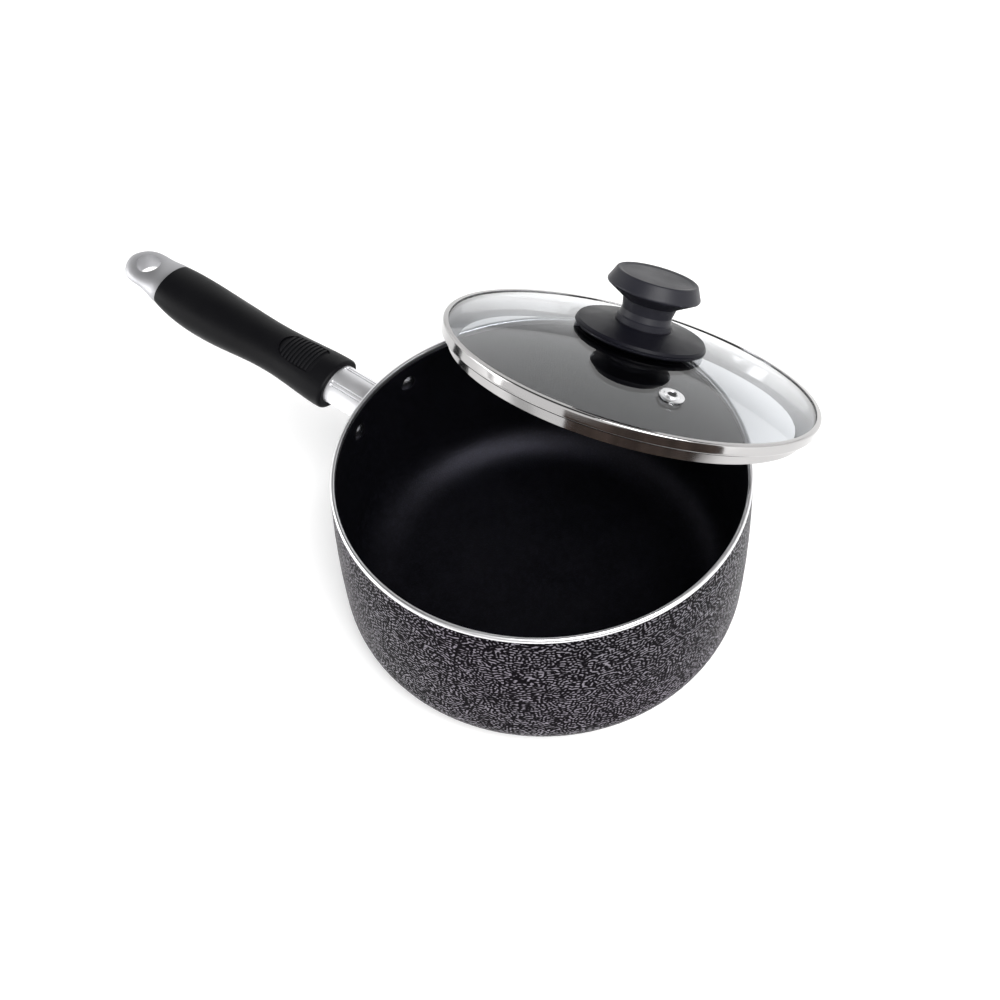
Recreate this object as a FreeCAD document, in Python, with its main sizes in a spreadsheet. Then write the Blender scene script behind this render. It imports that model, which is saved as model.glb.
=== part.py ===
import FreeCAD, Part
import math
import os
import re

import Sketcher
from FreeCAD import Placement, Rotation, Vector

# Saucepan with a leaning glass lid. Millimetres, +Z up. The origin is the middle of the flat base,
# the handle runs out along -X and the lid leans down towards +Y, resting on the pan's rim.

# ---------------------------------------------------------------- driving sizes
SIZES = [
    # pan
    ("rim_radius", 90.0, "outside radius at the rim"),
    ("wall", 2.0, "side wall"),
    ("pan_height", 88.5, "table to rim"),
    ("base_thickness", 2.6, "floor of the pan"),
    ("belly_bulge", 3.4, "how far the belly stands outside the rim"),
    ("corner_radius", 24.0, "outside corner between belly and base"),
    # fixing of the handle
    ("attach_drop", 17.0, "rim down to the handle's axis at the wall"),
    ("handle_rise", 8.1, "handle above the horizontal, degrees"),
    ("bracket_thickness", 2.5, "cast bracket plate"),
    ("bracket_height", 19.0, "cast bracket plate"),
    ("bracket_angle", 40.0, "arc of wall that the bracket covers, degrees"),
    ("boss_radius", 6.0, "boss that takes the handle bolt"),
    ("boss_length", 16.0, "boss that takes the handle bolt"),
    ("rivet_drop", 14.2, "rim down to the rivets"),
    ("rivet_angle", 11.9, "each rivet from the handle's plane, degrees"),
    ("rivet_shank", 2.4, "radius"),
    ("rivet_head", 4.3, "radius"),
    ("rivet_head_height", 1.7, "crown of each rivet head"),
    # flame guard sleeve
    ("ferrule_half_width", 11.0, "sleeve"),
    ("ferrule_half_height", 8.2, "sleeve"),
    ("ferrule_wall", 1.2, "sleeve"),
    ("ferrule_bite", 4.0, "depth that the sleeve enters the grip"),
    ("groove_radius", 0.55, "grooves along the sleeve"),
    # grip
    ("grip_start", 22.0, "bracket face to the grip's front end"),
    ("grip_length", 107.5, "along the handle"),
    ("front_half_width", 14.6, "grip at its front end"),
    ("front_half_height", 11.0, "grip at its front end"),
    ("waist_half_width", 12.8, "grip at its waist"),
    ("waist_half_height", 9.7, "grip at its waist"),
    ("palm_half_width", 14.9, "grip at its fullest"),
    ("palm_half_height", 11.4, "grip at its fullest"),
    ("palm_drop", 4.1, "palm swell hangs below the bolt's axis"),
    ("tail_half_width", 13.2, "grip at its tail end"),
    ("tail_half_height", 8.3, "grip at its tail end"),
    ("tail_drop", 1.4, "tail end below the bolt's axis"),
    ("grip_round", 1.6, "rounding of the grip's front edge"),
    # thumb pad
    ("pad_start", 10.5, "grip's front end to the pad's straight end"),
    ("pad_length", 22.5, "along the handle"),
    ("pad_half_width", 8.0, "pad"),
    ("pad_corner", 2.4, "corners of the pad's straight end"),
    ("pad_depth", 3.2, "pad below the grip's crown"),
    ("pad_gap", 0.6, "line around the pad"),
    ("rib_depth", 0.8, "ribs of the pad"),
    ("rib_width", 1.15, "ribs of the pad"),
    ("rib_pitch", 2.15, "ribs of the pad"),
    # hanging end
    ("hang_length", 28.0, "grip's tail end to the tip"),
    ("hang_half_width", 11.5, "hanging end beside its hole"),
    ("hang_half_height", 4.6, "hanging end beside its hole"),
    ("hang_hole_radius", 6.2, "hole that takes a hook"),
    ("hang_hole_setback", 12.6, "tip to the hole's middle"),
    ("spigot_half_width", 8.5, "spigot inside the grip"),
    ("spigot_half_height", 4.8, "spigot inside the grip"),
    ("spigot_length", 9.0, "spigot inside the grip"),
    # handle bolt
    ("bolt_radius", 2.45, "shank"),
    ("bolt_head_radius", 4.0, "pan head"),
    ("bolt_head_height", 2.5, "pan head"),
    ("bolt_bite", 12.0, "thread inside the boss"),
    ("washer_thickness", 0.9, "spring washer"),
    # lid band
    ("hem_width", 5.1, "the skirt's bottom edge, turned in"),
    ("hem_rise", 1.6, "height of the turned-in hem"),
    ("hem_fold", 0.2, "slack inside the turned-in hem"),
    ("skirt_play", 1.9, "skirt inside the pan's mouth, all round"),
    ("skirt_flare", 0.3, "skirt wider under the bead"),
    ("skirt_height", 7.0, "bottom edge to the bead's underside"),
    ("bead_overhang", 0.4, "lid's outermost ring past the rim"),
    ("bead_round", 0.8, "bead's outer edges"),
    ("lip_width", 2.4, "lip that holds the glass down"),
    ("sheet", 0.55, "rolled stainless sheet"),
    # glass
    ("glass_thickness", 3.5, "tempered glass"),
    ("dome_height", 20.1, "skirt's bottom edge up to the glass, at the middle"),
    ("seal_thickness", 0.8, "ring between glass and band"),
    ("seal_foot", 0.15, "air under the glass's edge"),
    ("glass_hole", 3.3, "radius of the middle hole"),
    # knob
    ("gasket_thickness", 0.9, "silicone washers on both sides of the glass"),
    ("disc_radius", 31.1, "heat guard disc under the knob"),
    ("disc_edge", 3.4, "edge of the disc"),
    ("disc_rise", 2.6, "disc's middle above its edge"),
    ("neck_radius", 12.4, "knob's neck"),
    ("neck_step", 0.7, "wider foot of the neck"),
    ("neck_foot", 3.2, "height of the wider foot"),
    ("neck_height", 10.8, "disc up to the cap"),
    ("cap_radius", 22.1, "knob's cap at its widest"),
    ("cap_under", 5.8, "height of the cap's underside cone"),
    ("cap_over", 6.4, "cap's widest ring up to its top"),
    ("cap_top_radius", 18.6, "flat top of the cap"),
    ("cap_dish", 0.5, "hollow of the flat top"),
    ("insert_radius", 4.0, "brass insert"),
    ("insert_length", 13.0, "brass insert"),
    ("insert_sunk", 1.0, "insert above the knob's foot"),
    ("screw_radius", 2.4, "knob screw"),
    ("screw_head_radius", 4.2, "knob screw"),
    ("screw_head_height", 2.4, "knob screw"),
    ("knob_washer_radius", 5.0, "washer under the glass"),
    ("knob_washer_thickness", 1.2, "washer under the glass"),
    # steam vent
    ("vent_offset", 60.1, "lid's axis to the vent"),
    ("vent_bearing", -49.8, "vent's direction around the lid, degrees from +X"),
    ("vent_bore", 2.0, "radius of the steam hole"),
    ("vent_barrel", 2.9, "radius of the eyelet's barrel"),
    ("vent_flange", 5.7, "radius of the eyelet's flange"),
    ("vent_flange_height", 1.5, "eyelet's flange above the glass"),
    ("vent_ring", 4.6, "radius of the ring under the glass"),
    # lean of the lid and clearances
    ("lid_lean", 28.8, "lid's tilt, degrees"),
    ("rest_gap", 0.35, "air between the glass and the far rim"),
    ("skirt_gap", 0.65, "air between the lid's skirt and the rim under it"),
    ("touch_gap", 0.05, "pieces that seat on each other"),
    ("slip_gap", 0.2, "a piece that slides into another"),
]

# ---------------------------------------------------------------- sizes worked out from those
WORKED = [
    ("belly_radius", "rim_radius + belly_bulge"),
    ("inner_corner", "corner_radius - wall"),
    ("rim_crown", "wall * 0.56"),
    ("rim_bead", "rim_crown - sqrt(rim_crown^2 - wall^2 / 4)"),
    ("belly_curve", "((pan_height - rim_bead - corner_radius)^2 + belly_bulge^2) / (2 * belly_bulge)"),
    ("inner_base", "base_thickness + inner_corner"),
    ("inner_curve", "((pan_height - rim_bead - inner_base)^2 + belly_bulge^2) / (2 * belly_bulge)"),
    ("attach_height", "pan_height - attach_drop"),
    ("rivet_height", "pan_height - rivet_drop"),
    ("ferrule_end", "grip_start + ferrule_bite"),
    ("grip_end", "grip_start + grip_length"),
    ("hang_tip", "grip_end + hang_length"),
    ("hang_hole_place", "hang_tip - hang_hole_setback"),
    ("bolt_seat", "hang_hole_place - hang_hole_radius - bolt_head_height - slip_gap"),
    ("bolt_end", "boss_length - bolt_bite"),
    ("skirt_radius", "rim_radius - wall - skirt_play"),
    ("hem_radius", "skirt_radius - hem_width"),
    ("bead_radius", "rim_radius + bead_overhang"),
    ("glass_radius", "bead_radius - sheet - seal_thickness - 2 * touch_gap"),
    ("glass_low", "skirt_height + sheet + seal_foot"),
    ("dome_sag", "dome_height - glass_low"),
    ("dome_curve", "(glass_radius^2 + dome_sag^2) / (2 * dome_sag)"),
    ("outer_curve", "dome_curve + glass_thickness"),
    ("dome_centre", "dome_height - dome_curve"),
    ("glass_high", "dome_centre + sqrt(outer_curve^2 - glass_radius^2)"),
    ("lip_radius", "bead_radius - lip_width"),
    ("lip_low", "dome_centre + sqrt(outer_curve^2 - lip_radius^2) + 2 * touch_gap"),
    ("bead_top", "lip_low + sheet"),
    ("glass_top", "dome_height + glass_thickness"),
    ("disc_low", "glass_top + gasket_thickness + touch_gap"),
    ("disc_edge_low", "disc_low - disc_radius^2 / (2 * outer_curve)"),
    ("disc_high", "disc_edge_low + disc_edge + disc_rise"),
    ("knob_low", "disc_high + touch_gap"),
    ("cap_low", "knob_low + neck_height"),
    ("cap_wide", "cap_low + cap_under"),
    ("knob_top", "cap_wide + cap_over"),
    ("gasket_low", "dome_height - touch_gap - gasket_thickness"),
    ("knob_washer_low", "gasket_low - touch_gap - knob_washer_thickness"),
    ("screw_seat", "knob_washer_low - touch_gap"),
    ("insert_low", "knob_low + insert_sunk"),
    ("insert_high", "insert_low + insert_length"),
]

doc = FreeCAD.newDocument("Saucepan")


def make_sheet(name, rows):
    """A spreadsheet with one aliased cell for each row: its text, then what it is."""
    sheet = doc.addObject("Spreadsheet::Sheet", name)
    for number, (alias, text, note) in enumerate(rows, start=1):
        cell = "B%d" % number
        sheet.set("A%d" % number, alias)
        sheet.set(cell, text)
        sheet.set("C%d" % number, note)
        sheet.setAlias(cell, alias)
    doc.recompute()
    return sheet


DRIVING_NAMES = [alias for alias, _, _ in SIZES]
WORKED_NAMES = [alias for alias, _ in WORKED]


def bound(text):
    """An expression with the sheet's name put before each size that it uses."""
    def with_sheet(match):
        word = match.group(0)
        if word in DRIVING_NAMES:
            return "Sizes." + word
        if word in WORKED_NAMES:
            return "Worked." + word
        return word
    return re.sub(r"[a-z_]+", with_sheet, text)


sizes = make_sheet("Sizes", [(alias, repr(size), note) for alias, size, note in SIZES])
worked = doc.addObject("Spreadsheet::Sheet", "Worked")
for row, (alias, text) in enumerate(WORKED, start=1):
    worked.set("A%d" % row, alias)
    worked.set("B%d" % row, "=" + bound(text).replace("Worked.", ""))
    worked.setAlias("B%d" % row, alias)
    doc.recompute()


def number(text):
    """What an expression of named sizes comes to."""
    return float(sizes.evalExpression(bound(text)))


def bind(thing, **texts):
    """Bind properties of an object to expressions of named sizes."""
    for name, text in texts.items():
        thing.setExpression(name, bound(text))
    return thing


# ---------------------------------------------------------------- outlines and turned pieces
def bulge_point(start, end, radius):
    """The middle of an arc between two points. A positive radius bulges to the right of travel."""
    chord = end - start
    half = chord.Length / 2
    rise = abs(radius) - math.sqrt(max(radius * radius - half * half, 0.0))
    side = Vector(chord.y, -chord.x, 0).normalize()
    return (start + end) * 0.5 + side * math.copysign(rise, radius)


def hold(sketch, geometry, end, across, text):
    """Hold one end of a line or arc at a bound distance from an origin axis."""
    value = number(text)
    if abs(value) < 1e-9:
        axis = -2 if across == "DistanceX" else -1
        sketch.addConstraint(Sketcher.Constraint("PointOnObject", geometry, end, axis))
        return
    index = sketch.addConstraint(Sketcher.Constraint(across, -1, 1, geometry, end, value))
    sketch.setExpression("Constraints[%d]" % index, bound(text))


def add_outline(sketch, corners):
    """A closed outline. Each corner is (x, y), or (x, y, radius) where an arc runs to the next."""
    points = [Vector(number(corner[0]), number(corner[1]), 0) for corner in corners]
    ends = []
    for index, corner in enumerate(corners):
        start = points[index]
        end = points[(index + 1) % len(points)]
        if len(corner) == 3:
            middle = bulge_point(start, end, number(corner[2]))
            if number(corner[2]) > 0:
                item = sketch.addGeometry(Part.Arc(start, middle, end), False)
                ends.append((item, 1, 2))
            else:
                item = sketch.addGeometry(Part.Arc(end, middle, start), False)
                ends.append((item, 2, 1))
            size = "abs(%s)" % corner[2] if corner[2].startswith("-") else corner[2]
            radius = sketch.addConstraint(Sketcher.Constraint("Radius", item, abs(number(corner[2]))))
            sketch.setExpression("Constraints[%d]" % radius, bound(size))
        else:
            item = sketch.addGeometry(Part.LineSegment(start, end), False)
            ends.append((item, 1, 2))
    for index, corner in enumerate(corners):
        item, first, _ = ends[index]
        before, _, last = ends[index - 1]
        sketch.addConstraint(Sketcher.Constraint("Coincident", before, last, item, first))
        hold(sketch, item, first, "DistanceX", corner[0])
        hold(sketch, item, first, "DistanceY", corner[1])


def sketch_on(body, role):
    """A sketch on one of a body's own origin planes."""
    sketch = body.newObject("Sketcher::SketchObject", body.Name + "_sketch")
    plane = [feature for feature in body.Origin.OriginFeatures if feature.Role == role][0]
    sketch.AttachmentSupport = [(plane, "")]
    sketch.MapMode = "FlatFace"
    return sketch


def turned(name, corners, sweep=None):
    """A body turned about its Z axis from an outline of (radius, height) corners."""
    body = doc.addObject("PartDesign::Body", name)
    sketch = sketch_on(body, "XZ_Plane")
    add_outline(sketch, corners)
    doc.recompute()
    revolution = body.newObject("PartDesign::Revolution", name + "_turn")
    revolution.Profile = sketch
    revolution.ReferenceAxis = (sketch, ["V_Axis"])
    revolution.Angle = 360
    if sweep:
        revolution.Midplane = True
        bind(revolution, Angle=sweep)
    body.Tip = revolution
    doc.recompute()
    return body


def cylinder(name, radius, length, place):
    """A cylinder along its own Z axis."""
    solid = doc.addObject("Part::Cylinder", name)
    bind(solid, Radius=radius, Height=length)
    solid.Placement = place
    return solid


def box(name, along, across, up, place):
    """A box centred on its own X and Y axes, rising from its own base."""
    solid = doc.addObject("Part::Box", name)
    bind(solid, Length=along, Width=across, Height=up)
    centre = Vector(-number(along) / 2, -number(across) / 2, 0)
    solid.Placement = place.multiply(Placement(centre, Rotation()))
    return solid


def cut(name, base, tool):
    """One solid with another taken away."""
    result = doc.addObject("Part::Cut", name)
    result.Base = base
    result.Tool = tool
    return result


def common(name, first, second):
    """What two solids share."""
    result = doc.addObject("Part::Common", name)
    result.Base = first
    result.Tool = second
    return result


def joined(name, shapes):
    """Several solids as one."""
    result = doc.addObject("Part::MultiFuse", name)
    result.Shapes = shapes
    return result


def group(name, shapes):
    """Several separate solids side by side."""
    result = doc.addObject("Part::Compound", name)
    result.Links = shapes
    return result


def oval_loft(name, stations):
    """A solid through ovals. Each is (distance along Z, half width, half height, drop)."""
    ovals = []
    for index, (along, half_width, half_height, drop) in enumerate(stations):
        oval = doc.addObject("Part::Ellipse", "%s_oval_%d" % (name, index))
        bind(oval, MajorRadius=half_width, MinorRadius=half_height)
        oval.Placement = Placement(Vector(0, 0, 0), Rotation(Vector(0, 0, 1), 90))
        oval.setExpression("Placement.Base.x", bound("-(%s)" % drop))
        oval.setExpression("Placement.Base.z", bound(along))
        ovals.append(oval)
    loft = doc.addObject("Part::Loft", name)
    loft.Sections = ovals
    loft.Solid = True
    loft.Ruled = len(stations) == 2
    return loft


nodes = []


def finish(piece, label, place=None):
    """Name a finished piece and put it in its place."""
    piece.Label = label
    if place is not None:
        piece.Placement = place
    nodes.append(piece)
    return piece


# ---------------------------------------------------------------- the pan's wall
def wall_radius(height):
    """Outside radius of the wall, as an expression of the height."""
    return "belly_radius - belly_curve + sqrt(belly_curve^2 - (%s - corner_radius)^2)" % height


def trimming_form(name, extra):
    """A solid whose side lies a set distance outside the pan's wall, to trim what meets the wall."""
    low = "corner_radius"
    high = "pan_height - rim_bead"
    return turned(name, [
        ("0", low),
        ("belly_radius + " + extra, low, "belly_curve + " + extra),
        ("rim_radius + " + extra, high),
        ("0", high)])


# One pressed aluminium bowl: flat base, round corner, slightly bellied wall and a full round rim.
pan_turning = turned("pan_turning", [
    ("0", "0"),
    ("belly_radius - corner_radius", "0", "corner_radius"),
    ("belly_radius", "corner_radius", "belly_curve"),
    ("rim_radius", "pan_height - rim_bead", "rim_crown"),
    ("rim_radius - wall", "pan_height - rim_bead", "-inner_curve"),
    ("belly_radius - wall", "inner_base", "-inner_corner"),
    ("belly_radius - corner_radius", "base_thickness"),
    ("0", "base_thickness")])

wall_lean = math.degrees(math.asin(number("(rivet_height - corner_radius) / belly_curve")))


def rivet_place(side):
    """Frame of one rivet: its Z axis points straight out of the wall, from the outer surface."""
    turn = Rotation(Vector(0, 0, 1), 180 + side * number("rivet_angle"))
    tip = Rotation(Vector(0, 1, 0), 90 - wall_lean)
    reach = number(wall_radius("rivet_height"))
    base = turn.multVec(Vector(reach, 0, number("rivet_height")))
    return Placement(base, turn.multiply(tip))


SIDES = (-1, 1)


def rivet_holes(name):
    """Holes through wall and bracket for the two rivets."""
    holes = []
    for side in SIDES:
        back = rivet_place(side).multiply(Placement(Vector(0, 0, -8), Rotation()))
        holes.append(cylinder("%s_%d" % (name, side + 1), "rivet_shank + touch_gap", "16", back))
    return group(name, holes)


pan_shell = finish(cut("pan_cut", pan_turning, rivet_holes("pan_rivet_holes")), "pan_shell")

# ---------------------------------------------------------------- handle frame
# Its Z axis runs out along the handle, X points up across it and Y lies sideways.
attach_radius = number(wall_radius("attach_height")) + number("bracket_thickness + touch_gap")
handle_place = Placement(Vector(-attach_radius, 0, number("attach_height")),
                         Rotation(Vector(0, 1, 0), number("handle_rise") - 90))


def on_handle(distance, turn=None):
    """A frame on the handle's axis, a distance out from the bracket's face."""
    return handle_place.multiply(Placement(Vector(0, 0, distance), turn or Rotation()))


# ---------------------------------------------------------------- bracket and rivets
# A cast plate that follows the wall, with a tapped boss for the handle bolt.
LOW = "attach_height - bracket_height / 2"
HIGH = "attach_height + bracket_height / 2"
flange = turned("bracket_plate", [
    (wall_radius(LOW) + " + touch_gap", LOW),
    (wall_radius(LOW) + " + touch_gap + bracket_thickness", LOW,
     "belly_curve + touch_gap + bracket_thickness"),
    (wall_radius(HIGH) + " + touch_gap + bracket_thickness", HIGH),
    (wall_radius(HIGH) + " + touch_gap", HIGH, "-(belly_curve + touch_gap)")],
    sweep="bracket_angle")
flange.Placement = Placement(Vector(0, 0, 0), Rotation(Vector(0, 0, 1), 180))
boss_root = number("bracket_thickness") + 1.5
boss = cylinder("boss_bar", "boss_radius", "boss_length + bracket_thickness + 1.5", on_handle(-boss_root))
boss_seated = cut("boss_seated", boss, trimming_form("wall_form", "touch_gap"))
bracket_body = joined("bracket_body", [flange, boss_seated])
bolt_thread = cylinder("bolt_thread", "bolt_radius + touch_gap", "boss_length",
                       on_handle(number("bolt_end - 1")))
bracket_tapped = cut("bracket_tapped", bracket_body, bolt_thread)
handle_bracket = finish(cut("bracket_cut", bracket_tapped, rivet_holes("bracket_rivet_holes")),
                        "handle_bracket")


def rivet(name, side):
    """One rivet: low round heads inside the pan and behind the bracket, flat against the wall."""
    crown = "(rivet_head^2 + rivet_head_height^2) / (2 * rivet_head_height)"
    inner = "-wall - touch_gap - rivet_head^2 / (2 * (rim_radius - wall))"
    outer = "bracket_thickness + 2 * touch_gap"
    solid = turned(name, [
        ("0", inner + " - rivet_head_height", crown),
        ("rivet_head", inner),
        ("rivet_shank", inner),
        ("rivet_shank", outer),
        ("rivet_head", outer, crown),
        ("0", outer + " + rivet_head_height")])
    solid.Placement = rivet_place(side)
    return solid


rivet_pair = group("rivet_pair", [rivet("rivet_%d" % (side + 1), side) for side in SIDES])
handle_rivets = finish(rivet_pair, "handle_rivets")

# ---------------------------------------------------------------- flame guard sleeve
# An oval aluminium sleeve between bracket and grip, with two fine grooves along each side.
GROOVE_ANGLES = (63, 53)


def sleeve_oval(name, start, end, shrink):
    """An oval bar with the sleeve's section, made smaller all round."""
    half_width = "ferrule_half_width - (%s)" % shrink
    half_height = "ferrule_half_height - (%s)" % shrink
    return oval_loft(name, [(start, half_width, half_height, "0"), (end, half_width, half_height, "0")])


sleeve_tube = cut("sleeve_tube", sleeve_oval("sleeve_outside", "-4", "ferrule_end", "0"),
                  sleeve_oval("sleeve_inside", "-5", "ferrule_end + 1", "ferrule_wall"))
grooves = []
for angle in GROOVE_ANGLES:
    for side in SIDES:
        reach = Vector(number("ferrule_half_height") * math.sin(math.radians(angle)),
                       side * number("ferrule_half_width") * math.cos(math.radians(angle)), 3.0)
        name = "groove_%d_%d" % (angle, side + 1)
        grooves.append(cylinder(name, "groove_radius", "grip_start - 4", Placement(reach, Rotation())))
sleeve_grooved = cut("sleeve_grooved", sleeve_tube, group("sleeve_grooves", grooves))
sleeve_grooved.Placement = handle_place
ferrule = finish(cut("ferrule_cut", sleeve_grooved,
                     trimming_form("bracket_form", "(bracket_thickness + 3 * touch_gap)")), "ferrule")

# ---------------------------------------------------------------- grip
def grip_stations(shrink):
    """Ovals of the grip: a waist behind the thumb pad, a full palm swell and a slimmer tail."""
    stations = [
        ("0", "front_half_width", "front_half_height", "1"),
        ("grip_length * 0.19", "(front_half_width + waist_half_width) / 2",
         "(front_half_height + waist_half_height) / 2", "1.2"),
        ("grip_length * 0.36", "waist_half_width", "waist_half_height", "palm_drop * 0.42"),
        ("grip_length * 0.56", "(waist_half_width + palm_half_width) / 2",
         "(waist_half_height + palm_half_height) / 2", "palm_drop * 0.8"),
        ("grip_length * 0.76", "palm_half_width", "palm_half_height", "palm_drop"),
        ("grip_length * 0.89", "(palm_half_width * 2 + tail_half_width) / 3 + 0.4",
         "(palm_half_height * 2 + tail_half_height) / 3", "(palm_drop * 2 + tail_drop) / 3"),
        ("grip_length", "tail_half_width", "tail_half_height", "tail_drop")]
    return [("grip_start + " + along, "%s - %s" % (wide, shrink), "%s - %s" % (high, shrink), drop)
            for along, wide, high, drop in stations]


grip_form = oval_loft("grip_form", grip_stations("0"))
doc.recompute()


def end_edge(solid, distance):
    """Number of the longest edge that lies across the handle at a distance along it."""
    found = []
    for index, edge in enumerate(solid.Shape.Edges, start=1):
        limits = edge.BoundBox
        if abs(limits.ZMin - distance) < 1e-4 and abs(limits.ZMax - distance) < 1e-4:
            found.append((edge.Length, index))
    return max(found)[1]


grip_rounded = doc.addObject("Part::Fillet", "grip_rounded")
grip_rounded.Base = grip_form
round_size = number("grip_round")
grip_rounded.Edges = [(end_edge(grip_form, number("grip_start")), round_size, round_size)]

socket = sleeve_oval("grip_socket", "grip_start - 1", "ferrule_end + slip_gap", "-slip_gap")
bore = cylinder("grip_bore", "bolt_radius + 3 * slip_gap", "grip_length + 10",
                Placement(Vector(0, 0, number("grip_start - 5")), Rotation()))
POCKET_WIDTH = "spigot_half_width + slip_gap"
POCKET_HEIGHT = "spigot_half_height + slip_gap"
spigot_pocket = oval_loft("spigot_pocket", [
    ("grip_end - spigot_length - slip_gap", POCKET_WIDTH, POCKET_HEIGHT, "0"),
    ("grip_end + 1", POCKET_WIDTH, POCKET_HEIGHT, "0")])


def pad_prism(name, grow):
    """The pad's outline, straight towards the pan and round towards the palm, as a tall prism."""
    front = "grip_start + pad_start - %s" % grow
    half = "pad_half_width + %s" % grow
    back = "grip_start + pad_start + pad_length - pad_half_width"
    corner = "pad_corner + %s" % grow
    body = doc.addObject("PartDesign::Body", name)
    sketch = sketch_on(body, "YZ_Plane")
    add_outline(sketch, [
        ("%s - (%s)" % (half, corner), front, corner),
        (half, "%s + %s" % (front, corner)),
        (half, back, half),
        ("0", "%s + %s" % (back, half), half),
        ("-(%s)" % half, back),
        ("-(%s)" % half, "%s + %s" % (front, corner), corner),
        ("-(%s - (%s))" % (half, corner), front)])
    doc.recompute()
    pad = body.newObject("PartDesign::Pad", name + "_pad")
    pad.Profile = sketch
    bind(pad, Length="front_half_height + 10")
    body.Tip = pad
    body.Placement = Placement(Vector(number("front_half_height - 1 - pad_depth"), 0, 0), Rotation())
    doc.recompute()
    return body


grip_hollows = joined("grip_hollows", [socket, bore, spigot_pocket])
grip_bored = cut("grip_bored", grip_rounded, grip_hollows)
grip = finish(cut("grip_cut", grip_bored, pad_prism("pad_recess", "pad_gap")), "grip", handle_place)

# ---------------------------------------------------------------- thumb pad
# A ribbed insert that follows the grip's crown inside its D-shaped recess.
def rib_slabs():
    """Thin slabs across the handle, one for each rib."""
    slabs = []
    count = int(number("(pad_length - 1.6) / rib_pitch"))
    spare = number("pad_length") - (count - 1) * number("rib_pitch")
    first = number("grip_start + pad_start") + spare / 2
    for index in range(count):
        middle = first + index * number("rib_pitch") - number("rib_width") / 2
        at_rib = Placement(Vector(0, 0, middle), Rotation())
        slabs.append(box("rib_%d" % index, "50", "40", "rib_width", at_rib))
    return group("rib_slabs", slabs)


pad_block = pad_prism("pad_block", "0")
pad_lift = number("front_half_height - 1 - pad_depth + touch_gap")
pad_block.Placement = Placement(Vector(pad_lift, 0, 0), Rotation())
pad_floor = common("pad_floor", pad_block, oval_loft("pad_floor_form", grip_stations("rib_depth")))
pad_crown = common("pad_crown", pad_block, oval_loft("pad_crown_form", grip_stations("0")))
pad_ribs = common("pad_ribs", pad_crown, rib_slabs())
thumb_pad = finish(joined("pad_joined", [pad_floor, pad_ribs]), "thumb_pad", handle_place)

# ---------------------------------------------------------------- hanging end
# A metal end that carries on the grip's tail, thins towards a round tip and has a hook hole.
TIP_STEPS = (0.0, 0.45, 0.75, 0.93)
centre = "hang_tip - hang_half_width"
hang_stations = [
    ("grip_end + touch_gap", "tail_half_width - 0.2", "tail_half_height - 0.2", "tail_drop"),
    ("grip_end + hang_length * 0.22", "(tail_half_width + hang_half_width) / 2",
     "(tail_half_height + hang_half_height) / 2 - 0.3", "tail_drop * 0.25")]
for step in TIP_STEPS:
    shrink = math.sqrt(1 - step * step)
    hang_stations.append(("%s + hang_half_width * %.4f" % (centre, step), "hang_half_width * %.4f" % shrink,
                          "hang_half_height * %.4f" % (shrink ** 0.6), "-0.5"))
hang_form = oval_loft("hang_form", hang_stations)
spigot = oval_loft("spigot", [
    ("grip_end - spigot_length", "spigot_half_width", "spigot_half_height", "0"),
    ("grip_end + 3", "spigot_half_width", "spigot_half_height", "0")])
across = Rotation(Vector(0, 1, 0), 90)
hook_hole = cylinder("hook_hole", "hang_hole_radius", "60",
                     Placement(Vector(-30, 0, number("hang_hole_place")), across))
bolt_passage = cylinder("bolt_passage", "bolt_radius + slip_gap", "hang_length + spigot_length",
                        Placement(Vector(0, 0, number("hang_hole_place - hang_length - spigot_length")),
                                  Rotation()))
pocket_floor = number("bolt_seat - washer_thickness - touch_gap")
head_pocket = cylinder("head_pocket", "bolt_head_radius + slip_gap", "hang_hole_radius + bolt_head_height + 2",
                       Placement(Vector(0, 0, pocket_floor), Rotation()))
hang_joined = joined("hang_joined", [hang_form, spigot])
hang_tools = joined("hang_tools", [hook_hole, bolt_passage, head_pocket])
hanging_end = finish(cut("hang_cut", hang_joined, hang_tools), "hanging_end", handle_place)

# ---------------------------------------------------------------- handle bolt and spring washer
bolt_turning = turned("bolt_turning", [
    ("0", "bolt_end"),
    ("bolt_radius - 0.6", "bolt_end"),
    ("bolt_radius", "bolt_end + 0.6"),
    ("bolt_radius", "bolt_seat"),
    ("bolt_head_radius", "bolt_seat"),
    ("bolt_head_radius", "bolt_seat + bolt_head_height - 0.9"),
    ("bolt_head_radius - 1.1", "bolt_seat + bolt_head_height"),
    ("0", "bolt_seat + bolt_head_height")])


def driver_cross(name, height, direction):
    """Two crossed slots of a screwdriver recess, sunk from a face at a height on the Z axis."""
    slots = []
    for index, angle in enumerate((0, 90)):
        place = Placement(Vector(0, 0, height), Rotation(Vector(0, 0, 1), angle))
        slots.append(box("%s_%d" % (name, index), "4.2", "1.0", "1.5", place))
        if direction < 0:
            slots[-1].Placement = Placement(Vector(0, 0, -1.5), Rotation()).multiply(slots[-1].Placement)
    return joined(name, slots)


handle_bolt = finish(cut("bolt_cut", bolt_turning,
                         driver_cross("bolt_cross", number("bolt_seat + bolt_head_height"), -1)),
                     "handle_bolt", handle_place)
bolt_washer = finish(turned("bolt_washer_turning", [
    ("bolt_radius + slip_gap", "bolt_seat - touch_gap / 2 - washer_thickness"),
    ("bolt_head_radius", "bolt_seat - touch_gap / 2 - washer_thickness"),
    ("bolt_head_radius", "bolt_seat - touch_gap / 2"),
    ("bolt_radius + slip_gap", "bolt_seat - touch_gap / 2")]), "bolt_washer", handle_place)


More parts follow.
